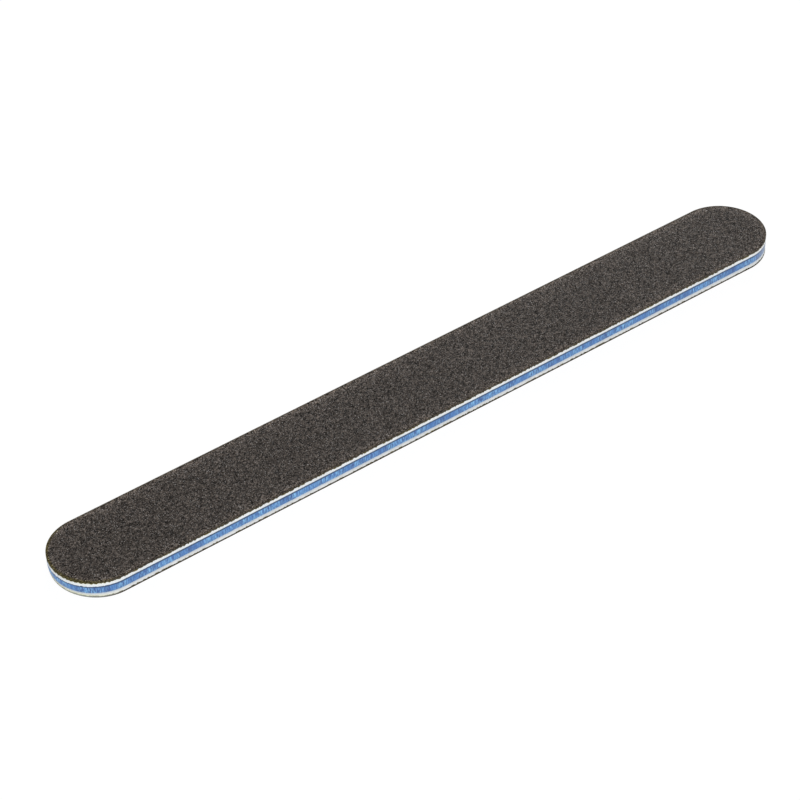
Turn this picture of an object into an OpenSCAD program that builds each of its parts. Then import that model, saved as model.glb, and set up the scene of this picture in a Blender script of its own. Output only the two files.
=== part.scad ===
// Cushioned emery board. A stiff plastic core has a foam cushion and a sheet of
// abrasive paper bonded to each face, and a steel rule die cuts the whole stack
// to its outline in one stroke, down from the top face.
//
// The board lies flat along X with +Z up. The origin is under its centre, on the
// surface that it rests on. Sizes are in millimetres.

/* [Board] */
// Length over the round ends
board_l = 178; // [120:1:200]
// Width, which is also the diameter of the round ends
board_w = 19; // [14:0.5:30]

/* [Abrasive sheet] */
// Thickness of the layer of abrasive grains
grit_t = 0.12; // [0.06:0.01:0.25]
// Thickness of the resin that holds the grains on the paper
resin_t = 0.04; // [0.02:0.01:0.08]
// Thickness of the backing paper
paper_t = 0.14; // [0.08:0.01:0.25]
// Thickness of the adhesive film between the paper and the foam
paper_film_t = 0.04; // [0.02:0.01:0.08]

/* [Cushion] */
// Thickness of each foam cushion before the die presses its rim
foam_t = 0.82; // [0.5:0.02:2]
// Thickness of the adhesive film between the foam and the core
core_film_t = 0.04; // [0.02:0.01:0.08]

/* [Core] */
// Thickness of the plastic core
core_t = 1.74; // [0.8:0.02:3]

/* [Die-cut edge] */
// Width of the rim that the die rolls over on the top face
roll_w = 2.4; // [1:0.1:4]
// Depth that the rolled rim drops below the flat of the top face
roll_drop = 0.1; // [0.04:0.01:0.2]
// Depth that the foam's cut edge is drawn in, halfway up
foam_draw = 0.1; // [0.04:0.01:0.2]
// Height of the crown on the core's cut edge, halfway up
core_crown = 0.06; // [0.02:0.01:0.2]
// Depth that the adhesive films stay back from the cut edge
film_setback = 0.08; // [0:0.01:0.2]

/* [Hidden] */

// Height of each ply's lower face, from the bottom of the stack up
bottom_grit_z = 0;
bottom_resin_z = bottom_grit_z + grit_t;
bottom_paper_z = bottom_resin_z + resin_t;
bottom_paper_film_z = bottom_paper_z + paper_t;
bottom_foam_z = bottom_paper_film_z + paper_film_t;
bottom_core_film_z = bottom_foam_z + foam_t;
core_z = bottom_core_film_z + core_film_t;
top_core_film_z = core_z + core_t;
top_foam_z = top_core_film_z + core_film_t;
top_paper_film_z = top_foam_z + foam_t;
top_paper_z = top_paper_film_z + paper_film_t;
top_resin_z = top_paper_z + paper_t;
top_grit_z = top_resin_z + resin_t;

// Distance from the centre line out to the cut edge, and to where the films stop
edge_r = board_w / 2;
film_r = edge_r - film_setback;

// Length of the straight sides, between the centres of the round ends
straight_l = board_l - board_w;

// The roll starts at this distance from the centre line, and is an arc that
// leaves the flat without a crease
roll_start_r = edge_r - roll_w;
roll_arc_r = arc_through(roll_w, roll_drop);

// How far a cutting shape runs past what it cuts
overcut = 1;

// Segments of the round ends, and of the shallow arcs in the section
end_fn = 128;
arc_fn = 360;

// Radius of the arc that rises by sagitta over half of its chord
function arc_through(half_chord, sagitta) =
    (half_chord * half_chord + sagitta * sagitta) / (2 * sagitta);

// Carries a half section, drawn from the centre line out to the cut edge, along
// both straight sides and round both ends
module round_the_board() {
    rotate([90, 0, 90])
        linear_extrude(straight_l, center = true) {
            children();
            mirror([1, 0]) children();
        }
    for (end = [0, 1])
        mirror([end, 0, 0])
            translate([straight_l / 2, 0, 0])
                rotate([0, 0, -90])
                    rotate_extrude(angle = 180, $fn = end_fn) children();
}

// Half section of a ply with flat faces and an upright edge
module flat_half(z, thickness, reach) {
    translate([0, z]) square([reach, thickness]);
}

// Half section of a ply that follows the rolled rim at one thickness
module rolled_half(z, thickness, reach) {
    flat_half(z, thickness, roll_start_r);
    difference() {
        intersection() {
            translate([roll_start_r, z - overcut])
                square([reach - roll_start_r, thickness + 2 * overcut]);
            roll_arc(z + thickness);
        }
        roll_arc(z);
    }
}

// Round that is level at z where the roll starts, and falls towards the cut edge
module roll_arc(z) {
    translate([roll_start_r, z - roll_arc_r]) circle(r = roll_arc_r, $fn = arc_fn);
}

// Hollow that is cut into a foam's edge between two heights
module foam_hollow(low_z, high_z) {
    hollow_r = arc_through((high_z - low_z) / 2, foam_draw);
    translate([edge_r - foam_draw + hollow_r, (low_z + high_z) / 2])
        circle(r = hollow_r, $fn = arc_fn);
}

// Half section of the top foam: its rim is pressed thin under the rolled sheet
module top_foam_half() {
    difference() {
        union() {
            flat_half(top_foam_z, foam_t, roll_start_r);
            intersection() {
                translate([roll_start_r, top_foam_z])
                    square([roll_w, foam_t + overcut]);
                roll_arc(top_foam_z + foam_t);
            }
        }
        foam_hollow(top_foam_z, top_foam_z + foam_t - roll_drop);
    }
}

// Half section of the bottom foam, which the cutting board keeps flat
module bottom_foam_half() {
    difference() {
        flat_half(bottom_foam_z, foam_t, edge_r);
        foam_hollow(bottom_foam_z, bottom_foam_z + foam_t);
    }
}

// Half section of the core, whose cut edge swells to a low crown halfway up
module core_half() {
    crown_start_r = edge_r - core_t / 2;
    crown_arc_r = arc_through(core_t / 2, core_crown);
    flat_half(core_z, core_t, crown_start_r);
    intersection() {
        translate([crown_start_r, core_z]) square([core_t, core_t]);
        translate([edge_r - crown_arc_r, core_z + core_t / 2])
            circle(r = crown_arc_r, $fn = arc_fn);
    }
}

// Top abrasive sheet, rolled over at the rim
module top_grit() {
    color("#4a4643") round_the_board() rolled_half(top_grit_z, grit_t, edge_r);
}

module top_resin_coat() {
    color("#6b5a33") round_the_board() rolled_half(top_resin_z, resin_t, edge_r);
}

module top_paper() {
    color("#8a8468") round_the_board() rolled_half(top_paper_z, paper_t, edge_r);
}

module top_paper_adhesive() {
    color("#cfcab8") round_the_board() rolled_half(top_paper_film_z, paper_film_t, film_r);
}

// Cushion and core
module top_foam() {
    color("#dae2e6") round_the_board() top_foam_half();
}

module top_core_adhesive() {
    color("#b9c3cc") round_the_board() flat_half(top_core_film_z, core_film_t, film_r);
}

module core() {
    color("#6690c4") round_the_board() core_half();
}

module bottom_core_adhesive() {
    color("#b9c3cc") round_the_board() flat_half(bottom_core_film_z, core_film_t, film_r);
}

module bottom_foam() {
    color("#ccd7e0") round_the_board() bottom_foam_half();
}

// Bottom abrasive sheet, flat out to the edge
module bottom_paper_adhesive() {
    color("#cfcab8") round_the_board() flat_half(bottom_paper_film_z, paper_film_t, film_r);
}

module bottom_paper() {
    color("#8a8468") round_the_board() flat_half(bottom_paper_z, paper_t, edge_r);
}

module bottom_resin_coat() {
    color("#6b5a33") round_the_board() flat_half(bottom_resin_z, resin_t, edge_r);
}

module bottom_grit() {
    color("#4a4643") round_the_board() flat_half(bottom_grit_z, grit_t, edge_r);
}

top_grit();
top_resin_coat();
top_paper();
top_paper_adhesive();
top_foam();
top_core_adhesive();
core();
bottom_core_adhesive();
bottom_foam();
bottom_paper_adhesive();
bottom_paper();
bottom_resin_coat();
bottom_grit();
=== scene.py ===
"""Dresses the frame of a cushioned emery board.

Every ply keeps the place that the frame gives it. The two abrasive faces become nets
of rough grain with sharp crystals standing in them, the foam and the core get their
die-cut edges, the backing papers get their torn fringes, and the stage is a pale
floor under soft light. Sizes are in metres.
"""

import math

import bpy
import numpy as np
from bpy.props import FloatProperty, FloatVectorProperty, IntProperty, PointerProperty
from mathutils import Matrix, Vector


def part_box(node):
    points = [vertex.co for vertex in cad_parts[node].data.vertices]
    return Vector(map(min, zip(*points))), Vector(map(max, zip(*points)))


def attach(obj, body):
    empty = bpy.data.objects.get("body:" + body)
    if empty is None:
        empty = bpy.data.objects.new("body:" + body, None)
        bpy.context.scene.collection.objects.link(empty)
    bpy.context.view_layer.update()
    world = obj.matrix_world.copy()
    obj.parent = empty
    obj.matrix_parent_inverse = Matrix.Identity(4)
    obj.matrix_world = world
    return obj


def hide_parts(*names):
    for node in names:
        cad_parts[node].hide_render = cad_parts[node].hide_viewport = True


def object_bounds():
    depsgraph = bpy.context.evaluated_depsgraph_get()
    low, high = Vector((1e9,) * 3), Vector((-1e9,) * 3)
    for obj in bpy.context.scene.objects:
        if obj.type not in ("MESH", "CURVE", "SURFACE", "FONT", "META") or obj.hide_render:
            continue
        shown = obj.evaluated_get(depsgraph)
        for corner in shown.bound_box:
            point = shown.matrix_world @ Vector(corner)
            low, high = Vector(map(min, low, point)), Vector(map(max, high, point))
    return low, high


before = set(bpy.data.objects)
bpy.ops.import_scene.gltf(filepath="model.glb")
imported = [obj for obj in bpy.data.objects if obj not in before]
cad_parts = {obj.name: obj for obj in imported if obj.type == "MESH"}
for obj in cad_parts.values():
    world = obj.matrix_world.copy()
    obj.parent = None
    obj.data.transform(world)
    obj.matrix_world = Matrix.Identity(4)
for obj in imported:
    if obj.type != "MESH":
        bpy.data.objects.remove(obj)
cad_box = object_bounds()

bl_info = {
    "name": "Emery Board",
    "version": (1, 0, 0),
    "blender": (4, 5, 0),
    "location": "3D Viewport > Sidebar > Emery Board",
    "description": "Makes the grain, foam, paper and cut edges of a cushioned emery board",
    "category": "Object",
}

MM = 0.001
TINY = 1e-6

# Width of the first ring of faces inside a cut edge, and how near to the board's
# outline a vertex of the cut edge itself lies
FIRST_RING = 0.15 * MM
EDGE_REACH = 0.8 * FIRST_RING

# Least share of up or down in the normal of a working face, past its steep sides
FACE_TILT = 0.3

# Size of the smallest coarse crystal, as a share of the largest
SMALLEST_CRYSTAL = 0.45

# The stage, in metres: both lamps face the board's middle
FLOOR_SIZE = 4
FLOOR_GLOW = 1.06
KEY_PLACE, KEY_SIZE = (0.60, 0.57, 0.38), 0.5
FILL_PLACE, FILL_SIZE = (-0.36, -0.64, 0.50), 0.8

# The outline: a straight stretch between two half rounds
board_low, board_high = cad_box
round_r = (board_high.y - board_low.y) / 2
straight_l = board_high.x - board_low.x - 2 * round_r

# The rim rolls over from this height up, where the top foam starts to give
roll_low_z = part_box("top_foam")[0].z
roll_high_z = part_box("top_foam")[1].z


def length_property(name, description, millimetres, least=0):
    """A length of the board, given in millimetres and kept in metres."""
    return FloatProperty(
        name=name, description=description, default=millimetres * MM, min=least * MM,
        subtype="DISTANCE",
    )


def colour_property(name, description, default):
    """A colour of the board, as a surface reflects it."""
    return FloatVectorProperty(
        name=name, description=description, default=default, subtype="COLOR", size=3, min=0, max=1
    )


class BoardShape(bpy.types.PropertyGroup):
    """How the cutting die leaves the edge of each ply."""

    roll_width: length_property(
        "Roll width", "Width of the rim that the die rolls over on the top face", 2.4
    )
    roll_drop: length_property(
        "Roll drop", "Depth that the rolled rim drops below the flat of the top face", 0.08
    )
    foam_draw: length_property(
        "Foam draw", "Depth that the foam's cut edge is drawn in, halfway up", 0.1
    )
    core_crown: length_property(
        "Core crown", "Height of the crown on the core's cut edge, halfway up", 0.06
    )
    end_undercut: length_property(
        "End undercut", "How far the lowest ply's -X tip falls short of the top ply's", 0.43
    )
    end_lift: length_property(
        "End lift", "How far the lowest ply's -X tip is pressed up off the floor", 0.12
    )


class BoardTexture(bpy.types.PropertyGroup):
    """The fine relief of each material."""

    grain_pitch: length_property(
        "Grain pitch", "Spacing of the net that carries the grains", 0.195, least=0.1
    )
    grain_size: length_property(
        "Grain size", "Distance from one grain to the next", 0.26, least=0.1
    )
    grain_depth: length_property("Grain depth", "Depth of the gaps between the grains", 0.05)
    clump_size: length_property(
        "Clump size", "Size of the clumps that the grains settle in", 0.8, least=0.1
    )
    clump_depth: length_property("Clump depth", "Depth of the hollows between the clumps", 0.03)
    crystal_size: length_property(
        "Crystal size", "Length of the coarsest crystals in the grain", 0.48, least=0.05
    )
    crystal_gap: length_property(
        "Crystal gap", "Least distance between the middles of two crystals", 0.33, least=0.1
    )
    crystal_sink: length_property(
        "Crystal sink", "Farthest that a crystal's tip lies below the top of the face", 0.04
    )
    crystal_root: length_property(
        "Crystal root", "Depth below the top of the face that no crystal goes past", 0.14
    )
    foam_pitch: length_property(
        "Foam pitch", "Spacing of the faces on the foam's cut edge", 0.1, least=0.05
    )
    cell_size: length_property("Cell size", "Size of the foam's cells", 0.2, least=0.05)
    cell_depth: length_property("Cell depth", "Depth of the cells that the die has cut open", 0.05)
    core_pitch: length_property(
        "Core pitch", "Spacing of the faces on the core's cut edge", 0.13, least=0.05
    )
    streak_size: length_property(
        "Streak size", "Width of the die's upright streaks on the core", 0.35, least=0.05
    )
    streak_depth: length_property("Streak depth", "Depth of the streaks on the core", 0.03)
    paper_pitch: length_property(
        "Paper pitch", "Spacing of the faces on the paper's cut edge", 0.12, least=0.05
    )
    fringe_size: length_property(
        "Fringe size", "Width of the torn tufts along the paper's edge", 0.42, least=0.05
    )
    fringe_depth: length_property("Fringe depth", "Reach of the torn tufts over the foam", 0.26)
    tear_depth: length_property("Tear depth", "Depth of the tears in the paper's cut edge", 0.03)
    bond_pitch: length_property(
        "Bond pitch", "Spacing of the faces on a film's cut edge", 0.4, least=0.05
    )
    nick_depth: length_property("Nick depth", "Reach of the foam's torn tufts over the core", 0.15)


class BoardColours(bpy.types.PropertyGroup):
    """The colours of each material, from its darkest to its lightest."""

    # Near black: the resin's colour darkened with painted shade in the gaps between the grains
    gap_resin_and_shade: colour_property("Grain gap", "Resin between the grains", (0.0045, 0.0031, 0.0021))
    grain_body: colour_property("Grain body", "Most of the grain", (0.150, 0.125, 0.108))
    grain_tip: colour_property("Grain tip", "Tips of the grains", (0.203, 0.181, 0.165))
    crystal_dark: colour_property(
        "Dark crystal", "Darkest coarse crystals", (0.046, 0.0375, 0.031)
    )
    crystal_light: colour_property(
        "Light crystal", "Lightest coarse crystals", (0.186, 0.174, 0.166)
    )
    resin: colour_property("Resin", "Resin under the grains", (0.014, 0.010, 0.005))
    paper_dark: colour_property(
        "Dark paper", "Resin-soaked fibres of the paper", (0.045, 0.035, 0.011)
    )
    paper_light: colour_property("Light paper", "Torn fibres of the paper", (0.28, 0.23, 0.075))
    dust: colour_property("Dust", "Foam dust on the board's end", (0.46, 0.48, 0.45))
    film: colour_property("Adhesive film", "Films between the plies", (0.55, 0.60, 0.62))
    foam_light: colour_property("Foam", "Cell walls of the foam", (0.94, 0.95, 0.94))
    foam_dark: colour_property("Foam cell", "Cut cells of the foam", (0.72, 0.76, 0.78))
    foam_stain: colour_property(
        "Foam stain", "Foam beside the paper at the -X end", (0.80, 0.80, 0.32)
    )
    # Painted lighter than the foam: painted light where the lamps leave the tip in shade
    top_tip_lit: colour_property("Top foam tip", "Top foam at the board's +X tip", (0.97, 0.96, 0.93))
    bottom_tip_lit: colour_property(
        "Bottom foam tip", "Bottom foam at the board's +X tip", (0.86, 0.92, 1.0)
    )
    core_light: colour_property("Light core", "Light streaks on the core", (0.28, 0.60, 0.94))
    core_blue: colour_property("Core", "Blue of the core", (0.060, 0.182, 0.490))
    core_deep: colour_property(
        "Deep core", "Blue of the core where it is rubbed dull", (0.038, 0.103, 0.320)
    )
    # Grey at the +X tip: part scuffing, part painted sheen
    core_scuff_and_sheen: colour_property(
        "Scuffed core", "Core at the board's +X tip", (0.43, 0.445, 0.455)
    )
    # A painted shadow of the top foam along the core's upper edge
    core_shadow_line: colour_property(
        "Dark core", "Rubbed line at the core's upper edge", (0.024, 0.060, 0.14)
    )


class BoardStage(bpy.types.PropertyGroup):
    """Camera, floor and light."""

    azimuth: FloatProperty(
        name="Azimuth",
        description="Direction of the camera round the board; 0 looks along +Y",
        default=math.radians(-37.022), subtype="ANGLE",
    )
    elevation: FloatProperty(
        name="Elevation",
        description="Height of the camera above the horizon",
        default=math.radians(39.789), subtype="ANGLE",
    )
    roll: FloatProperty(
        name="Roll",
        description="Tilt of the camera about its own line of sight",
        default=math.radians(-1.07), subtype="ANGLE",
    )
    distance: length_property(
        "Distance", "Distance from the camera to the plane that it frames", 582.8
    )
    lens: FloatProperty(
        name="Lens", description="Focal length in millimetres", default=130.36, min=1
    )
    aim_right: length_property(
        "Aim right", "How far the camera aims right of the board's middle", -5.76, least=-100
    )
    aim_up: length_property(
        "Aim up", "How far the camera aims above the board's middle", -2.505, least=-100
    )
    key_power: FloatProperty(
        name="Key power",
        description="Power of the lamp behind the board, in watts",
        default=3.4, min=0,
    )
    fill_power: FloatProperty(
        name="Fill power",
        description="Power of the larger lamp in front of the board, in watts",
        default=3.8, min=0,
    )
    sky_strength: FloatProperty(
        name="Sky strength",
        description="Strength of the even light all round",
        default=0.50, min=0,
    )
    floor_lift: FloatProperty(
        name="Floor lift",
        description="Share of plain white in the floor that the camera sees",
        default=0.86, min=0, max=1, subtype="FACTOR",
    )
    seed: IntProperty(name="Seed", description="Seed of everything scattered", default=7)


# Meshes

def only(piece):
    """Makes piece the one selected object, out of edit mode."""
    if bpy.context.mode != "OBJECT":
        bpy.ops.object.mode_set(mode="OBJECT")
    bpy.ops.object.select_all(action="DESELECT")
    piece.select_set(True)
    bpy.context.view_layer.objects.active = piece


def places(piece):
    """The places of a piece's vertices, one row each."""
    at = np.empty(len(piece.data.vertices) * 3)
    piece.data.vertices.foreach_get("co", at)
    return at.reshape(-1, 3)


def put_places(piece, at):
    """Moves a piece's vertices to these places."""
    piece.data.vertices.foreach_set("co", at.ravel())
    piece.data.update()


def select(piece, kind, chosen):
    """Goes into edit mode with only the chosen "vertices", "edges" or "polygons" selected."""
    only(piece)
    mesh = piece.data
    for parts in (mesh.vertices, mesh.edges, mesh.polygons):
        parts.foreach_set("select", np.zeros(len(parts), bool))
    getattr(mesh, kind).foreach_set("select", np.asarray(chosen, bool))
    kinds = ("vertices", "edges", "polygons")
    bpy.context.tool_settings.mesh_select_mode = tuple(kind == k for k in kinds)
    bpy.ops.object.mode_set(mode="EDIT")


def name_last(name):
    """Names the primitive that was just added, with its place moved into its mesh."""
    piece = bpy.context.active_object
    piece.name = piece.data.name = name
    bpy.ops.object.transform_apply(location=True, rotation=True, scale=True)
    return piece


def inset_from_edge(at):
    """How far each place lies in from the board's outline."""
    past_straight = np.maximum(np.abs(at[:, 0]) - straight_l / 2, 0)
    return round_r - np.hypot(past_straight, at[:, 1])


def undercut_end(piece, shape):
    """Draws the board's -X tip in and up, the more so the lower a ply lies."""
    at = places(piece)
    toward_tip = np.clip((-at[:, 0] - straight_l / 2) / round_r, 0, 1)
    down = np.clip(1 - at[:, 2] / board_high.z, 0, 1) ** 3
    at[:, 0] += shape.end_undercut * down * toward_tip
    at[:, 2] += shape.end_lift * down * toward_tip**2
    put_places(piece, at)


def tuck_in(piece):
    """Draws in whatever a texture has pushed out past the board's outline."""
    at = places(piece)
    outside = np.minimum(inset_from_edge(at), 0)
    past_straight = np.maximum(np.abs(at[:, 0]) - straight_l / 2, 0)
    reach = np.maximum(np.hypot(past_straight, at[:, 1]), TINY)
    at[:, 0] += outside * np.sign(at[:, 0]) * past_straight / reach
    at[:, 1] += outside * at[:, 1] / reach
    put_places(piece, at)


def mark(piece, name, weights):
    """Gives a piece a vertex group, for a modifier to read."""
    group = piece.vertex_groups.new(name=name)
    levels = np.round(np.asarray(weights, float), 3)
    for level in np.unique(levels[levels > 0]):
        group.add(np.flatnonzero(levels == level).tolist(), float(level), "REPLACE")
    return group.name


def displace(piece, strength, direction, group="", texture=None, mid_level=0.0, stretch_z=1.0):
    """Displaces a piece by a texture, which may be drawn out along Z, and applies it."""
    only(piece)
    relief = piece.modifiers.new("relief", "DISPLACE")
    relief.strength = strength
    relief.direction = direction
    relief.vertex_group = group
    relief.mid_level = mid_level
    guide = None
    if texture:
        guide = bpy.data.objects.new("texture_guide", None)
        guide.scale = (1, 1, stretch_z)
        bpy.context.scene.collection.objects.link(guide)
        relief.texture = texture
        relief.texture_coords = "OBJECT"
        relief.texture_coords_object = guide
        bpy.context.view_layer.update()
    bpy.ops.object.modifier_apply(modifier=relief.name)
    if guide:
        bpy.data.objects.remove(guide)


def grain_texture(name, size):
    """Rounded cells, dark in the middle and bright where they meet."""
    texture = bpy.data.textures.new(name, "VORONOI")
    texture.noise_scale = size
    texture.noise_intensity = 1
    return texture


def cloud_texture(name, size, depth=2, contrast=1.0):
    """Soft blots, cut off at black and white so that none goes past its depth."""
    texture = bpy.data.textures.new(name, "CLOUDS")
    texture.noise_scale = size
    texture.noise_depth = depth
    texture.contrast = contrast
    texture.use_clamp = True
    return texture


def arc_drop(inset, shape):
    """How far the rolled rim lies below the flat, this far in from the outline."""
    outward = np.clip(shape.roll_width - inset, 0, shape.roll_width)
    arc_r = (shape.roll_width**2 + shape.roll_drop**2) / (2 * shape.roll_drop)
    return arc_r - np.sqrt(arc_r**2 - outward**2)


def roll_rim(piece, shape):
    """Lowers the rim of what lies on the top foam, and the foam itself in proportion."""
    at = places(piece)
    share = np.clip((at[:, 2] - roll_low_z) / (roll_high_z - roll_low_z), 0, 1)
    at[:, 2] -= share * arc_drop(inset_from_edge(at), shape)
    put_places(piece, at)


def cut_edge(name, low_z, high_z, pitch, set_back=0.0):
    """The upright cut edge of a ply: a fence of small faces, this far inside the outline."""
    circle_count = 2 * round(math.pi * round_r / pitch)
    bpy.ops.object.select_all(action="DESELECT")
    bpy.ops.mesh.primitive_circle_add(
        vertices=circle_count, radius=round_r - set_back, location=(0, 0, low_z),
        rotation=(0, 0, math.pi / circle_count),
    )
    piece = name_last(name)
    for side in (-1, 1):
        select(piece, "vertices", places(piece)[:, 0] * side > 0)
        bpy.ops.transform.translate(value=(side * straight_l / 2, 0, 0))
    only(piece)
    at = places(piece)
    ends = np.array([edge.vertices[:] for edge in piece.data.edges])
    select(piece, "edges", np.abs(at[ends[:, 0], 0] - at[ends[:, 1], 0]) > straight_l / 2)
    # One pass can't cut finely enough, so two passes share the count
    cuts = round(math.sqrt(straight_l / pitch)) - 1
    for _ in range(2):
        bpy.ops.mesh.subdivide(number_cuts=cuts)
    rows = max(2, round((high_z - low_z) / pitch))
    bpy.ops.mesh.select_all(action="SELECT")
    for _ in range(rows):
        bpy.ops.mesh.extrude_edges_move(
            TRANSFORM_OT_translate={"value": (0, 0, (high_z - low_z) / rows)}
        )
    bpy.ops.mesh.select_all(action="SELECT")
    bpy.ops.mesh.normals_make_consistent(inside=False)
    only(piece)
    return piece


def on_cut_edge(piece):
    """Which vertices of a ply are on its cut edge, and not in its caps."""
    return inset_from_edge(places(piece)) < EDGE_REACH


def roughen_edge(piece, depth, texture, stretch_z=1.0):
    """Sinks a texture into a ply's cut edge, and leaves its caps flat."""
    edge = mark(piece, "edge", on_cut_edge(piece))
    displace(piece, -depth, "NORMAL", edge, texture, stretch_z=stretch_z)


def bow_edge(piece, depth, outward):
    """Bows a cut edge along an arc, drawn in halfway up or, if outward, at both its rims."""
    height = places(piece)[:, 2]
    across = 2 * (height - height.min()) / (height.max() - height.min()) - 1
    weights = across**2 if outward else 1 - across**2
    displace(piece, -depth, "NORMAL", mark(piece, "bow", weights))


def close_ply(piece, rings):
    """Closes a cut edge above and below, with rings at these distances in from it."""
    at = places(piece)
    levels = (at[:, 2].min(), at[:, 2].max())
    on_rim = [np.abs(at[:, 2] - level) < TINY for level in levels]
    for rim in on_rim:
        added = len(piece.data.vertices) - len(rim)
        select(piece, "vertices", np.concatenate([rim, np.zeros(added, bool)]))
        bpy.ops.mesh.edge_face_add()
        bpy.ops.mesh.select_mode(type="FACE")
        for ring in rings:
            bpy.ops.mesh.inset(thickness=ring, depth=0)
        bpy.ops.mesh.select_all(action="SELECT")
        bpy.ops.mesh.normals_make_consistent(inside=False)
        only(piece)


def roll_rings(shape):
    """Rings that let a ply's hidden faces follow the rolled rim."""
    return [FIRST_RING] + [(shape.roll_width - FIRST_RING) / 2] * 2


def smooth(piece, angle):
    """Shades a piece smooth across edges that bend less than angle, in degrees."""
    only(piece)
    bpy.ops.object.shade_smooth_by_angle(angle=math.radians(angle))


def finish_ply(piece, material, angle, node):
    """Dresses, shades and seats a ply."""
    dress(piece, material)
    smooth(piece, angle)
    seat(piece, node)


def seat(piece, node):
    """Puts a finished piece in a node's stead, on the board's one body."""
    tuck_in(piece)
    undercut_end(piece, bpy.context.scene.board_shape)
    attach(piece, "root")
    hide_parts(node)


# Materials

class Nodes:
    """Adds nodes to a tree, each with its settings and inputs."""

    def __init__(self, tree):
        self.tree = tree

    def add(self, kind, inputs=(), **settings):
        node = self.tree.nodes.new(kind)
        for name, value in settings.items():
            setattr(node, name, value)
        for name, value in dict(inputs).items():
            self.give(node.inputs[name], value)
        return node

    def give(self, socket, value):
        """Links a socket to another one, or sets its value."""
        if isinstance(value, bpy.types.NodeSocket):
            self.tree.links.new(value, socket)
        else:
            socket.default_value = value

    def maths(self, operation, *values):
        return self.add("ShaderNodeMath", enumerate(values), operation=operation).outputs[0]

    def product(self, first, second):
        return self.maths("MULTIPLY", first, second)


class Finish(Nodes):
    """A material's nodes, on the piece's own coordinates."""

    def __init__(self, name, roughness, specular=0.5):
        self.material = bpy.data.materials.new(name)
        self.material.use_nodes = True
        super().__init__(self.material.node_tree)
        self.shader = self.tree.nodes["Principled BSDF"]
        self.roughness(roughness)
        self.specular(specular)
        self.coords = self.add("ShaderNodeTexCoord").outputs["Object"]

    def along(self, axis):
        """How far each point lies along "X", "Y" or "Z", in metres."""
        return self.add("ShaderNodeSeparateXYZ", {"Vector": self.coords}).outputs[axis]

    def where(self, stretch=(1, 1, 1)):
        """Coordinates in millimetres, drawn out along each axis by stretch."""
        scale = [1 / (MM * s) for s in stretch]
        return self.add("ShaderNodeMapping", {"Vector": self.coords, "Scale": scale}).outputs[0]

    def noise(self, size, detail=2, rough=0.5, stretch=(1, 1, 1)):
        """Soft noise with spots of this size in millimetres."""
        inputs = {"Vector": self.where(stretch), "Scale": 1 / size, "Detail": detail}
        return self.add("ShaderNodeTexNoise", {**inputs, "Roughness": rough}).outputs[0]

    def cells(self, size, output):
        """Cells of this size in millimetres, as a "Distance" or a "Color" of each."""
        inputs = {"Vector": self.where(), "Scale": 1 / size}
        return self.add("ShaderNodeTexVoronoi", inputs).outputs[output]

    def stored(self, name):
        """A number that the piece's mesh stores at each point."""
        return self.add("ShaderNodeAttribute", attribute_name=name).outputs["Fac"]

    def spread(self, value, low, high, to_low=0.0, to_high=1.0):
        """Maps the range low to high onto another one."""
        inputs = {"Value": value, "From Min": low, "From Max": high, "To Min": to_low}
        return self.add("ShaderNodeMapRange", {**inputs, "To Max": to_high}).outputs[0]

    def mix(self, share, first, second, mode="MIX"):
        """Blends two colours, by the sockets of the node that are for colour."""
        node = self.add("ShaderNodeMix", data_type="RGBA", blend_type=mode)
        sockets = (node.inputs[0], node.inputs[6], node.inputs[7])
        for socket, value in zip(sockets, (share, first, second)):
            is_colour = not isinstance(value, (float, int, bpy.types.NodeSocket))
            self.give(socket, (*value, 1) if is_colour else value)
        return node.outputs[2]

    def tint(self, first, second):
        """Multiplies one colour by another one, or by a level."""
        return self.mix(1.0, first, second, "MULTIPLY")

    def bump(self, height, distance):
        """Fine relief of this depth, in metres."""
        inputs = {"Height": height, "Distance": distance}
        self.give(self.shader.inputs["Normal"], self.add("ShaderNodeBump", inputs).outputs[0])

    def colour(self, value):
        self.give(self.shader.inputs["Base Color"], value)

    def roughness(self, value):
        self.give(self.shader.inputs["Roughness"], value)

    def specular(self, value):
        self.give(self.shader.inputs["Specular IOR Level"], value)


def grit_finish(colours, name, dust):
    """Dark grain in resin: near black in the gaps, where the resin is darkened with painted shade,
    grey on the tips, and paler by the rim with wear and painted sheen.
    """
    finish = Finish(name, roughness=0.6, specular=0.12)
    height = finish.stored("height")
    # The sunk gaps take the gap colour, resin darkened with painted shade; the tips are grey
    tone = finish.mix(finish.spread(height, 0.2, 0.6), colours.gap_resin_and_shade, colours.grain_body)
    tone = finish.mix(finish.spread(height, 0.6, 1.0), tone, colours.grain_tip)
    speck = finish.add("ShaderNodeSeparateColor", {"Color": finish.cells(0.2, "Color")})
    tone = finish.tint(tone, finish.spread(speck.outputs[0], 0.3, 0.7, 0.6, 1.38))
    # Blotches of painted shade at the size of the grain's clumps
    tone = finish.tint(tone, clumps(finish))
    # Paler by the rim: part wear, part painted sheen
    tone = finish.tint(tone, rim_wear_and_sheen(finish))
    finish.specular(clumps(finish, 0.02, 0.14))
    # Foam dust hangs on the cut edge at the board's end
    cut = finish.spread(finish.stored("rim"), 0.12, 0.02, 0.0, dust)
    dusty = finish.product(cut, end_share(finish, -1))
    finish.colour(finish.mix(dusty, tone, colours.dust))
    finish.roughness(finish.spread(speck.outputs[1], 0, 1, 0.45, 0.9))
    return finish.material


def clumps(finish, hollow_shade=0.3, heap_light=1.36):
    """Blotches of painted shade in the grain, darkest where hollows would lie and lightest on the
    heaps.
    """
    return finish.spread(finish.noise(0.36, detail=2), 0.33, 0.57, hollow_shade, heap_light)


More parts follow.
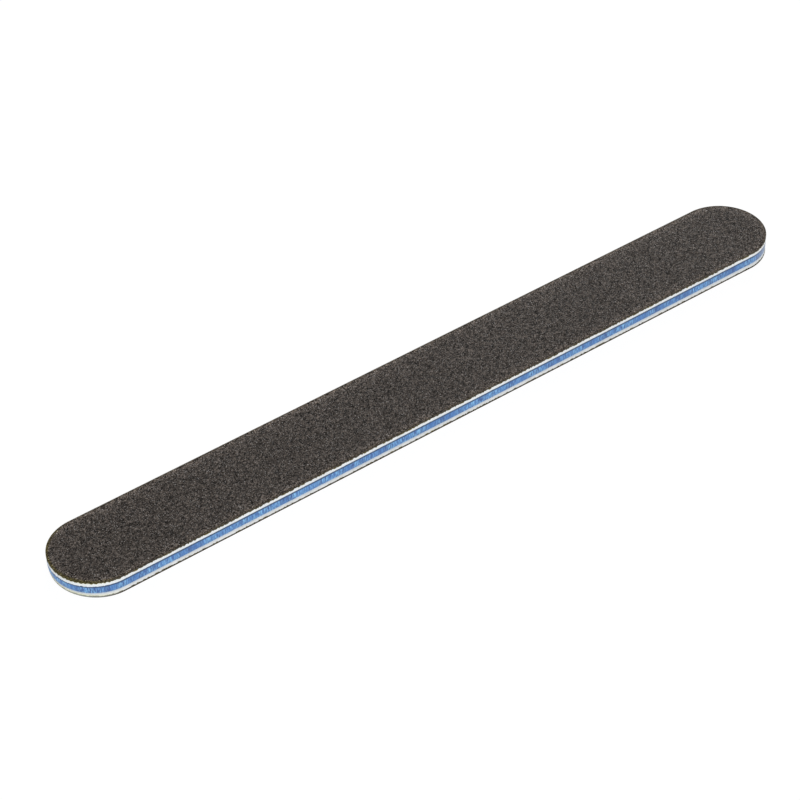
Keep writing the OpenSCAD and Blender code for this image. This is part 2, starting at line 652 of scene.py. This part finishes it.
def rim_wear_and_sheen(finish):
    """Paler and warmer by the rim, part handling wear and part painted sheen, paler still on the
    +Y side as painted light, and darker right at the outline.
    """
    rim = finish.stored("rim")
    # The rim's paling is part wear, part painted sheen
    rubbed = finish.maths("POWER", finish.spread(rim, 2.6, 0.3), 2.0)
    blotch = finish.spread(finish.noise(6.0, detail=3), 0.3, 0.7, 0.94, 1.06)
    level = finish.product(finish.spread(rubbed, 0, 1, 1.0, 1.75), blotch)
    level = finish.product(level, finish.spread(rim, 0.04, 0.42, 0.15, 1.0))
    # The +Y side is painted lighter: painted light from behind the board
    far_side_light = finish.spread(finish.along("Y"), 4 * MM, 8 * MM, 1.0, 1.18)
    level = finish.product(level, far_side_light)
    edge_tint = finish.mix(end_share(finish, -1), (1.0, 0.93, 0.78), (1.12, 1.06, 0.22))
    warm = finish.mix(finish.spread(rim, 0.7, 0.1), (1, 1, 1), edge_tint)
    return finish.tint(level, warm)


def end_share(finish, way):
    """0 along the board, rising to 1 by the tip of one end: the -X end or the +X end."""
    arc_start = way * straight_l / 2
    return finish.spread(finish.along("X"), arc_start, arc_start + way * 0.8 * round_r)


def crystal_finish(colours):
    """Sharp crystals, each of its own tone and gloss."""
    finish = Finish("coarse_crystal", roughness=0.4, specular=0.28)
    tone = finish.stored("tone")
    shade = finish.mix(finish.spread(tone, 0.2, 0.6), colours.crystal_dark, colours.crystal_light)
    chip = finish.spread(finish.cells(0.08, "Distance"), 0.0, 0.6, 0.8, 1.2)
    # The crystals take the same blotches of painted shade
    shade = finish.tint(finish.tint(shade, chip), clumps(finish))
    # Paler by the rim: part wear, part painted sheen
    shade = finish.tint(shade, rim_wear_and_sheen(finish))
    finish.colour(shade)
    finish.roughness(finish.spread(tone, 0, 1, 0.25, 0.6))
    return finish.material


def resin_finish(colours, name, dust):
    """Cured resin with faint flow marks."""
    finish = Finish(name, roughness=0.35)
    flow = finish.noise(1.2, detail=3)
    tone = finish.mix(finish.spread(flow, 0.3, 0.7), colours.resin, colours.paper_dark)
    dusty = finish.product(end_share(finish, -1), dust)
    finish.colour(finish.mix(dusty, tone, colours.dust))
    finish.bump(flow, 0.02 * MM)
    return finish.material


def paper_finish(colours, name, dust):
    """Resin-soaked paper whose torn fibres show pale, and yellower towards the board's end."""
    finish = Finish(name, roughness=0.85, specular=0.3)
    fibre = finish.noise(0.2, detail=3, stretch=(1, 1, 0.5))
    patch = finish.spread(finish.noise(3.0, detail=2), 0.4, 0.65, 0.15, 1.0)
    torn = finish.product(finish.spread(finish.stored("torn"), 0.15, 0.8), patch)
    loose = finish.product(finish.spread(fibre, 0.5, 0.7), 0.35)
    share = finish.maths("MAXIMUM", torn, finish.product(loose, patch))
    tone = finish.mix(share, colours.paper_dark, colours.paper_light)
    end = end_share(finish, -1)
    tone = finish.tint(tone, finish.mix(end, (1, 1, 1), (1.0, 1.05, 0.3)))
    finish.colour(finish.mix(finish.product(end, dust), tone, colours.dust))
    finish.bump(fibre, 0.03 * MM)
    return finish.material


def film_finish(colours, name):
    """Pressure-sensitive adhesive, dulled where the die has dragged it."""
    finish = Finish(name, roughness=0.3)
    drag = finish.noise(0.5, detail=2, stretch=(1, 1, 3))
    darker = [0.7 * part for part in colours.film]
    finish.colour(finish.mix(finish.spread(drag, 0.35, 0.65), darker, colours.film))
    finish.roughness(finish.spread(drag, 0.3, 0.7, 0.25, 0.5))
    return finish.material


def foam_finish(colours, name, core_z, dust, painted_shade, tip):
    """Fine closed-cell foam, cut open along its edge, with the core's blue dust next to it.

    It is stained by the paper at the -X end, and takes the tip's colour at the +X end, which on
    the top foam is painted light. The bottom foam is painted darker all over, as shade.
    """
    finish = Finish(name, roughness=0.9, specular=0.25)
    cell = finish.cells(0.11, "Distance")
    patch = finish.noise(0.45, detail=3, rough=0.6)
    pores = finish.product(finish.spread(cell, 0.55, 0.1), finish.spread(patch, 0.4, 0.65))
    # Faint blotches, with the bottom foam painted darker all over as shade
    blotch_and_shade = finish.spread(finish.noise(2.5, detail=3), 0.3, 0.7, 0.95 - painted_shade, 1.03 - painted_shade)
    tone = finish.mix(pores, colours.foam_light, colours.foam_dark)
    away = finish.maths("ABSOLUTE", finish.maths("SUBTRACT", finish.along("Z"), core_z))
    fall = finish.spread(away, 0, 0.45 * MM, dust, 0.0)
    smear = finish.spread(finish.noise(0.35, detail=3, stretch=(1, 1, 5)), 0.4, 0.65, 0.5, 1.0)
    tone = finish.mix(finish.product(fall, smear), tone, colours.core_light)
    tone = finish.tint(tone, blotch_and_shade)
    stain = finish.spread(away, ply_t("top_foam") - 0.5 * MM, ply_t("top_foam"), 0.0, 0.65)
    stain = finish.product(stain, end_share(finish, -1))
    tone = finish.mix(stain, tone, colours.foam_stain)
    # At the +X tip the foam takes the tip's colour in place of its dust and pores; on the top foam
    # that colour is painted light
    tip_share = finish.product(end_share(finish, 1), 0.85)
    finish.colour(finish.mix(tip_share, tone, tip))
    finish.bump(cell, 0.02 * MM)
    return finish.material


def core_finish(colours, high_z):
    """Blue plastic with the die's upright streaks, a painted shadow line under its upper edge, and
    a grey +X tip of scuffs and painted sheen.
    """
    finish = Finish("blue_plastic", roughness=0.45)
    streak = finish.noise(0.22, detail=4, rough=0.65, stretch=(1, 1, 7))
    patch = finish.spread(finish.noise(4.0, detail=3, stretch=(1, 1, 4)), 0.35, 0.6, 0.3, 1.0)
    share = finish.product(finish.spread(streak, 0.46, 0.6), patch)
    dull = finish.spread(finish.noise(1.2, detail=3, stretch=(1, 1, 4)), 0.42, 0.6)
    tone = finish.mix(dull, colours.core_blue, colours.core_deep)
    tone = finish.mix(share, tone, colours.core_light)
    # A painted shadow line of the top foam along the core's upper edge, made ragged by the streaks
    edge_z = finish.maths("MULTIPLY_ADD", streak, 0.45 * MM, finish.along("Z"))
    line = finish.spread(edge_z, high_z - 0.2 * MM, high_z + 0.02 * MM)
    tone = finish.mix(line, tone, colours.core_shadow_line)
    # The +X tip greys with scuffs and painted sheen
    scuff_and_sheen = finish.spread(streak, 0.35, 0.6, 0.4, 0.9)
    scuff_and_sheen = finish.product(scuff_and_sheen, end_share(finish, 1))
    finish.colour(finish.mix(scuff_and_sheen, tone, colours.core_scuff_and_sheen))
    finish.roughness(finish.spread(streak, 0.3, 0.7, 0.35, 0.6))
    finish.bump(streak, 0.03 * MM)
    return finish.material


def dress(piece, material):
    """Gives a piece one material, in the place of any that it had."""
    piece.data.materials.clear()
    piece.data.materials.append(material)


# Pieces

def round_the_ends(piece):
    """Draws the square ends of a net in to half rounds, with cells of even size."""
    at = places(piece)
    past = (np.abs(at[:, 0]) - straight_l / 2) / round_r
    across = at[:, 1] / round_r
    ring = np.maximum(past, np.abs(across))
    longest = np.maximum(ring, TINY)
    steep = np.abs(across) > past
    turn = np.where(steep, np.sign(across) * (2 - past / longest), across / longest)
    turn *= math.pi / 4
    past_end = past > 0
    along = straight_l / 2 + round_r * ring * np.cos(turn)
    at[past_end, 0] = (np.sign(at[:, 0]) * along)[past_end]
    at[past_end, 1] = (round_r * ring * np.sin(turn))[past_end]
    put_places(piece, at)


def grit_net(name, low_z, high_z, faces_up, shape, texture):
    """A closed sheet whose working face is a net that is fine enough for every grain."""
    outer_z, inner_z = (high_z, low_z) if faces_up else (low_z, high_z)
    columns = round((straight_l + 2 * round_r) / texture.grain_pitch)
    rows = round(2 * round_r / texture.grain_pitch)
    bpy.ops.object.select_all(action="DESELECT")
    bpy.ops.mesh.primitive_grid_add(
        x_subdivisions=columns, y_subdivisions=rows, size=1, location=(0, 0, outer_z)
    )
    bpy.context.active_object.scale = (straight_l + 2 * round_r, 2 * round_r, 1)
    piece = name_last(name)
    round_the_ends(piece)
    select(piece, "vertices", np.zeros(len(piece.data.vertices), bool))
    bpy.ops.mesh.select_mode(type="EDGE")
    bpy.ops.mesh.select_non_manifold(extend=False)
    bpy.ops.mesh.extrude_edges_move(TRANSFORM_OT_translate={"value": (0, 0, inner_z - outer_z)})
    bpy.ops.mesh.edge_face_add()
    bpy.ops.mesh.select_mode(type="FACE")
    if faces_up:
        for ring in roll_rings(shape):
            bpy.ops.mesh.inset(thickness=ring, depth=0)
    bpy.ops.mesh.select_all(action="SELECT")
    bpy.ops.mesh.normals_make_consistent(inside=False)
    only(piece)
    # The grain is pressed flat right at the rim
    at = places(piece)
    on_face = np.clip(inset_from_edge(at) / FIRST_RING, 0, 1)
    on_face[np.abs(at[:, 2] - outer_z) > TINY] = 0
    return piece, mark(piece, "grain", on_face)


def roughen_grit(piece, group, faces_up, texture):
    """Sinks the gaps between grains and clumps below the level of the tips."""
    inward = -1 if faces_up else 1
    # The whole bed also settles, by this share of the grain depth
    settle = 0.7
    grains = grain_texture("grain_cells", texture.grain_size)
    clumps = cloud_texture("grain_clumps", texture.clump_size)
    displace(piece, inward * texture.grain_depth, "Z", group, grains, mid_level=-settle)
    displace(piece, inward * texture.clump_depth, "Z", group, clumps)


def store(piece, name, values):
    """Stores a number at each vertex, for a material to read."""
    kept = piece.data.attributes.get(name) or piece.data.attributes.new(name, "FLOAT", "POINT")
    kept.data.foreach_set("value", values)


def make_grit(name, node, faces_up, shape, texture, colours):
    """One abrasive sheet's bed of grains, with the height and the rim that its finish reads."""
    low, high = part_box(node)
    flat_low_z = high.z - ply_t(node) if faces_up else low.z
    piece, group = grit_net(name, flat_low_z, high.z, faces_up, shape, texture)
    before = places(piece)[:, 2]
    roughen_grit(piece, group, faces_up, texture)
    sunk = np.abs(places(piece)[:, 2] - before)
    if faces_up:
        roll_rim(piece, shape)
    store(piece, "height", 1 - (sunk - sunk.min()) / (sunk.max() - sunk.min()))
    store(piece, "rim", inset_from_edge(places(piece)) / MM)
    dress(piece, grit_finish(colours, name, dust=0.0 if faces_up else 0.8))
    seat(piece, node)
    return piece


def ply_t(node):
    """A ply's own thickness: its twin on the bottom lies flat and gives it."""
    low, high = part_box(node.replace("top_", "bottom_"))
    return high.z - low.z


def make_crystal():
    """A sharp crystal with eight faces, longer than it is wide, with its points askew."""
    bpy.ops.object.select_all(action="DESELECT")
    bpy.ops.mesh.primitive_cone_add(vertices=4, radius1=0.5, depth=0.5, location=(0, 0, 0.25))
    crystal = name_last("crystal")
    # The cone's base is drawn out to a second point below
    select(crystal, "polygons", [len(face.vertices) == 4 for face in crystal.data.polygons])
    bpy.ops.mesh.poke(offset=0.5)
    only(crystal)
    for side, slip in ((1, (0.16, -0.08, 0)), (-1, (-0.1, 0.12, 0.1))):
        select(crystal, "vertices", places(crystal)[:, 2] * side > 0.2)
        bpy.ops.transform.translate(value=slip)
    bpy.ops.mesh.select_all(action="SELECT")
    bpy.ops.transform.resize(value=(1, 0.72, 0.8))
    only(crystal)
    return crystal


def scatter_tree(crystal, texture, faces_up, seed):
    """Nodes that scatter turned and scaled copies of the crystal over the working face."""
    nodes = Nodes(bpy.data.node_groups.new("scatter_crystals", "GeometryNodeTree"))
    for way in ("INPUT", "OUTPUT"):
        nodes.tree.interface.new_socket("Geometry", in_out=way, socket_type="NodeSocketGeometry")
    face, normal = nodes.add("NodeGroupInput"), nodes.add("GeometryNodeInputNormal")
    upright = nodes.add("ShaderNodeSeparateXYZ", {0: normal.outputs[0]})
    is_face = nodes.add(
        "FunctionNodeCompare",
        {"A": upright.outputs["Z"], "B": FACE_TILT if faces_up else -FACE_TILT},
        operation="GREATER_THAN" if faces_up else "LESS_THAN",
    )
    # More tries than the gap has room for, so that the face fills evenly
    density = 2 / texture.crystal_gap**2
    spots = nodes.add(
        "GeometryNodeDistributePointsOnFaces",
        {
            "Mesh": face.outputs[0], "Selection": is_face.outputs[0], "Seed": seed,
            "Distance Min": texture.crystal_gap, "Density Max": density,
        },
        distribute_method="POISSON",
    )
    shape = nodes.add("GeometryNodeObjectInfo", {"Object": crystal})
    turn = nodes.add(
        "FunctionNodeRandomValue", {"Max": (math.tau,) * 3, "Seed": seed + 1},
        data_type="FLOAT_VECTOR",
    )
    least, most = ((share * texture.crystal_size,) * 3 for share in (SMALLEST_CRYSTAL, 1))
    scale = nodes.add(
        "FunctionNodeRandomValue", {"Min": least, "Max": most, "Seed": seed + 2},
        data_type="FLOAT_VECTOR",
    )
    tone = nodes.add("FunctionNodeRandomValue", {"Seed": seed + 3})
    copies = nodes.add(
        "GeometryNodeInstanceOnPoints",
        {
            "Points": spots.outputs["Points"], "Instance": shape.outputs["Geometry"],
            "Rotation": turn.outputs[0], "Scale": scale.outputs[0],
        },
    )
    toned = nodes.add(
        "GeometryNodeStoreNamedAttribute",
        {"Geometry": copies.outputs[0], "Name": "tone", "Value": tone.outputs[1]},
        domain="INSTANCE",
    )
    real = nodes.add("GeometryNodeRealizeInstances", {0: toned.outputs[0]})
    nodes.add("NodeGroupOutput", {0: real.outputs[0]})
    return nodes.tree


def bed_crystals(piece, corners, outer_z, faces_up, shape, texture, seed):
    """Sinks each crystal until its tip is just under the working face, inside the outline."""
    at = places(piece)
    away = 1 if faces_up else -1
    middles = at.reshape(-1, corners, 3).mean(axis=1)
    limit = np.full(len(middles), outer_z * away)
    if faces_up:
        limit -= arc_drop(inset_from_edge(middles), shape)
    tips = (at[:, 2] * away).reshape(-1, corners).max(axis=1)
    sink = np.random.default_rng(seed).random(len(tips)) ** 2 * texture.crystal_sink
    at[:, 2] += away * np.repeat(limit - sink - tips, corners)
    root = np.repeat(limit, corners) - texture.crystal_root
    at[:, 2] = away * np.maximum(away * at[:, 2], root)
    put_places(piece, at)
    tuck_in(piece)


def scatter_crystals(name, face, outer_z, faces_up, seed):
    """Coarse crystals that stand in the grain of one face."""
    scene = bpy.context.scene
    shape, texture = scene.board_shape, scene.board_texture
    crystal = make_crystal()
    corners = len(crystal.data.vertices)
    only(face)
    bpy.ops.object.duplicate()
    piece = bpy.context.active_object
    piece.name = piece.data.name = name
    scatter = piece.modifiers.new("scatter", "NODES")
    scatter.node_group = scatter_tree(crystal, texture, faces_up, seed)
    bpy.ops.object.modifier_apply(modifier=scatter.name)
    bpy.data.objects.remove(crystal)
    bed_crystals(piece, corners, outer_z, faces_up, shape, texture, seed)
    store(piece, "rim", inset_from_edge(places(piece)) / MM)
    undercut_end(piece, shape)
    dress(piece, crystal_finish(scene.board_colours))
    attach(piece, "root")
    return piece


class EMERY_OT_grit_faces(bpy.types.Operator):
    """Make both abrasive faces, with their coarse crystals."""

    bl_idname = "emery.grit_faces"
    bl_label = "Grit Faces"

    def execute(self, context):
        shape, texture = context.scene.board_shape, context.scene.board_texture
        colours, seed = context.scene.board_colours, context.scene.board_stage.seed
        for side, faces_up in (("top", True), ("bottom", False)):
            node = f"{side}_grit"
            face = make_grit(f"{node}_face", node, faces_up, shape, texture, colours)
            low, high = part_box(node)
            outer_z = high.z if faces_up else low.z
            scatter_crystals(f"{side}_coarse_grains", face, outer_z, faces_up, seed + faces_up)
        return {"FINISHED"}


class EMERY_OT_papers(bpy.types.Operator):
    """Make both backing papers, with the fringe that the die tears along their edges."""

    bl_idname = "emery.papers"
    bl_label = "Backing Papers"

    def execute(self, context):
        shape, texture = context.scene.board_shape, context.scene.board_texture
        colours = context.scene.board_colours
        # The higher the middle level, the fewer tufts the texture raises
        sides = (("top", -1, -0.05, 0.0), ("bottom", 1, 0.21, 0.8))
        for side, fringe_way, mid_level, dust in sides:
            node = f"{side}_paper"
            high_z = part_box(node)[1].z
            low_z = high_z - ply_t(node)
            piece = cut_edge(f"{side}_backing_paper", low_z, high_z, texture.paper_pitch)
            close_ply(piece, roll_rings(shape))
            foam_z = low_z if fringe_way < 0 else high_z
            fringed = on_cut_edge(piece) & (np.abs(places(piece)[:, 2] - foam_z) < TINY)
            tufts = cloud_texture("tufts", texture.fringe_size, depth=3, contrast=4.5)
            tears = grain_texture("tears", texture.fringe_size / 2)
            reach = fringe_way * texture.fringe_depth
            before = places(piece)[:, 2]
            displace(piece, reach, "Z", mark(piece, "fringe", fringed), tufts, mid_level)
            torn = np.abs(places(piece)[:, 2] - before) / texture.fringe_depth
            roughen_edge(piece, texture.tear_depth, tears)
            store(piece, "torn", torn)
            if side == "top":
                roll_rim(piece, shape)
            material = paper_finish(colours, f"{side}_backing_paper", dust)
            finish_ply(piece, material, 40, node)
        return {"FINISHED"}


def raise_nicks(piece, rim_z, way, texture):
    """Tears the foam's rim next to the core, so that tufts stand over the core's edge.

    The top foam is torn only at the board's ends, where the die has dragged it down.
    """
    at = places(piece)
    reach = np.ones(len(at))
    if way < 0:
        reach = np.clip((np.abs(at[:, 0]) - straight_l / 2) / round_r, 0, 1)
    reach[~on_cut_edge(piece) | (np.abs(at[:, 2] - rim_z) > TINY)] = 0
    tufts = cloud_texture("nicks", texture.fringe_size, depth=3, contrast=2.5)
    # The higher the middle level, the fewer tufts the texture raises
    mid_level = 0.08 if way > 0 else -0.3
    depth = way * texture.nick_depth
    displace(piece, depth, "Z", mark(piece, "rim", reach), tufts, mid_level=mid_level)


class EMERY_OT_foams(bpy.types.Operator):
    """Make both foam plies, drawn in and cut open along their edges."""

    bl_idname = "emery.foams"
    bl_label = "Foam Plies"

    def execute(self, context):
        shape, texture = context.scene.board_shape, context.scene.board_texture
        colours = context.scene.board_colours
        # The bottom foam is painted darker as shade
        for side, tuft_way, dust, painted_shade in (("top", -1, 0.22, 0.0), ("bottom", 1, 0.4, 0.11)):
            node = f"{side}_foam"
            low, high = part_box(node)
            core_z = low.z if side == "top" else high.z
            piece = cut_edge(f"{side}_foam_ply", low.z, high.z, texture.foam_pitch)
            bow_edge(piece, shape.foam_draw, outward=False)
            close_ply(piece, roll_rings(shape))
            raise_nicks(piece, core_z, tuft_way, texture)
            cells = grain_texture("foam_cells", texture.cell_size)
            roughen_edge(piece, texture.cell_depth, cells)
            if side == "top":
                roll_rim(piece, shape)
            # The top foam's tip colour is painted light
            tip = colours.top_tip_lit if side == "top" else colours.bottom_tip_lit
            material = foam_finish(colours, f"{side}_white_foam", core_z, dust, painted_shade, tip)
            finish_ply(piece, material, 60, node)
        return {"FINISHED"}


class EMERY_OT_core(bpy.types.Operator):
    """Make the plastic core, crowned and streaked along its cut edge."""

    bl_idname = "emery.core"
    bl_label = "Core"

    def execute(self, context):
        shape, texture = context.scene.board_shape, context.scene.board_texture
        low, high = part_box("core")
        piece = cut_edge("blue_core", low.z, high.z, texture.core_pitch)
        bow_edge(piece, shape.core_crown, outward=True)
        close_ply(piece, ())
        streaks = cloud_texture("core_streaks", texture.streak_size, depth=3)
        roughen_edge(piece, texture.streak_depth, streaks, stretch_z=9)
        material = core_finish(context.scene.board_colours, high.z)
        finish_ply(piece, material, 30, "core")
        return {"FINISHED"}


def make_bond(name, node, material):
    """A thin coat or film, set back from the outline as its node is."""
    scene = bpy.context.scene
    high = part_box(node)[1]
    pitch, set_back = scene.board_texture.bond_pitch, board_high.y - high.y
    piece = cut_edge(name, high.z - ply_t(node), high.z, pitch, set_back)
    close_ply(piece, roll_rings(scene.board_shape))
    roll_rim(piece, scene.board_shape)
    finish_ply(piece, material, 40, node)


class EMERY_OT_bonds(bpy.types.Operator):
    """Make the resin coats and the adhesive films between the plies."""

    bl_idname = "emery.bonds"
    bl_label = "Resin and Films"

    def execute(self, context):
        colours = context.scene.board_colours
        paper_film = film_finish(colours, "paper_adhesive")
        core_film = film_finish(colours, "core_adhesive")
        for side, dust in (("top", 0.0), ("bottom", 0.8)):
            resin = resin_finish(colours, f"{side}_resin", dust)
            make_bond(f"{side}_resin_layer", f"{side}_resin_coat", resin)
            make_bond(f"{side}_paper_bond", f"{side}_paper_adhesive", paper_film)
            make_bond(f"{side}_core_bond", f"{side}_core_adhesive", core_film)
        return {"FINISHED"}


# Stage

def floor_finish(lift):
    """Matt white, part of which the camera sees as a glow that takes no shadow."""
    finish = Finish("pale_floor", roughness=0.95, specular=0.1)
    finish.colour((0.9, 0.9, 0.9, 1))
    glow = finish.add("ShaderNodeEmission", {"Color": (1, 1, 1, 1), "Strength": FLOOR_GLOW})
    share = finish.product(seen_share(finish), lift)
    mixed = {"Fac": share, 1: finish.shader.outputs[0], 2: glow.outputs[0]}
    seen = finish.add("ShaderNodeMixShader", mixed)
    finish.give(finish.tree.nodes["Material Output"].inputs["Surface"], seen.outputs[0])
    return finish.material


def seen_share(nodes):
    """1 where the camera sees a surface, straight or in a reflection or through glass, else 0."""
    path = nodes.add("ShaderNodeLightPath")
    share = path.outputs["Is Camera Ray"]
    for way in ("Is Glossy Ray", "Is Transmission Ray"):
        share = nodes.maths("MAXIMUM", share, path.outputs[way])
    return share


def set_sky(strength):
    """An even sky that the camera and any reflection see as white."""
    world = bpy.data.worlds.new("soft_sky")
    bpy.context.scene.world = world
    world.use_nodes = True
    nodes = Nodes(world.node_tree)
    light = nodes.tree.nodes["Background"]
    nodes.give(light.inputs["Strength"], strength)
    nodes.give(light.inputs["Color"], (1, 1, 1, 1))
    white = nodes.add("ShaderNodeBackground", {"Color": (1, 1, 1, 1)})
    mixed = {"Fac": seen_share(nodes), 1: light.outputs[0], 2: white.outputs[0]}
    seen = nodes.add("ShaderNodeMixShader", mixed)
    nodes.give(nodes.tree.nodes["World Output"].inputs["Surface"], seen.outputs[0])


def add_lamp(name, place, aim, size, power):
    """A square soft lamp that faces aim."""
    bpy.ops.object.light_add(type="AREA", location=place)
    lamp = bpy.context.active_object
    lamp.name = lamp.data.name = name
    lamp.data.size = size
    lamp.data.energy = power
    lamp.rotation_euler = (Vector(aim) - Vector(place)).to_track_quat("-Z", "Y").to_euler()


def add_camera(stage, middle):
    """Places the camera by its angles round the board's middle."""
    azimuth, elevation = stage.azimuth, stage.elevation
    back = Vector((
        math.sin(azimuth) * math.cos(elevation),
        -math.cos(azimuth) * math.cos(elevation),
        math.sin(elevation),
    ))
    level = Vector((math.cos(azimuth), math.sin(azimuth), 0))
    upright = back.cross(level)
    right = level * math.cos(stage.roll) + upright * math.sin(stage.roll)
    up = upright * math.cos(stage.roll) - level * math.sin(stage.roll)
    place = middle + right * stage.aim_right + up * stage.aim_up + back * stage.distance
    bpy.ops.object.camera_add()
    camera = bpy.context.active_object
    camera.name = camera.data.name = "photo_camera"
    camera.data.lens = stage.lens
    camera.data.clip_start, camera.data.clip_end = 0.01, 100
    turned = Matrix((right, up, back)).transposed().to_4x4()
    camera.matrix_world = Matrix.Translation(place) @ turned
    bpy.context.scene.camera = camera


class EMERY_OT_stage(bpy.types.Operator):
    """Set the floor, the light and the camera."""

    bl_idname = "emery.stage"
    bl_label = "Stage"

    def execute(self, context):
        stage = context.scene.board_stage
        context.scene.view_settings.view_transform = "Standard"
        bpy.ops.object.select_all(action="DESELECT")
        bpy.ops.mesh.primitive_plane_add(size=FLOOR_SIZE)
        floor = name_last("floor")
        dress(floor, floor_finish(stage.floor_lift))
        set_sky(stage.sky_strength)
        middle = Vector((0, 0, board_high.z / 2))
        add_lamp("key_lamp", KEY_PLACE, middle, KEY_SIZE, stage.key_power)
        add_lamp("fill_lamp", FILL_PLACE, middle, FILL_SIZE, stage.fill_power)
        add_camera(stage, middle)
        return {"FINISHED"}


class EMERY_PT_panel(bpy.types.Panel):
    """Lists the steps in the order that they run."""

    bl_idname = "EMERY_PT_panel"
    bl_label = "Emery Board"
    bl_space_type = "VIEW_3D"
    bl_region_type = "UI"
    bl_category = "Emery Board"

    def draw(self, context):
        for operator in OPERATORS:
            self.layout.operator(operator.bl_idname)
        for group in GROUPS:
            settings = getattr(context.scene, group)
            box = self.layout.box()
            for name in settings.__annotations__:
                box.prop(settings, name)


GROUPS = {
    "board_shape": BoardShape,
    "board_texture": BoardTexture,
    "board_colours": BoardColours,
    "board_stage": BoardStage,
}
OPERATORS = (
    EMERY_OT_grit_faces,
    EMERY_OT_papers,
    EMERY_OT_foams,
    EMERY_OT_core,
    EMERY_OT_bonds,
    EMERY_OT_stage,
)


def register():
    for made in (*GROUPS.values(), *OPERATORS, EMERY_PT_panel):
        bpy.utils.register_class(made)
    for name, group in GROUPS.items():
        setattr(bpy.types.Scene, name, PointerProperty(type=group))


def unregister():
    for name in GROUPS:
        delattr(bpy.types.Scene, name)
    for made in (EMERY_PT_panel, *reversed(OPERATORS), *reversed(GROUPS.values())):
        bpy.utils.unregister_class(made)


def main():
    register()
    bpy.ops.emery.grit_faces()
    bpy.ops.emery.papers()
    bpy.ops.emery.foams()
    bpy.ops.emery.core()
    bpy.ops.emery.bonds()
    bpy.ops.emery.stage()


if __name__ == "__main__":
    main()
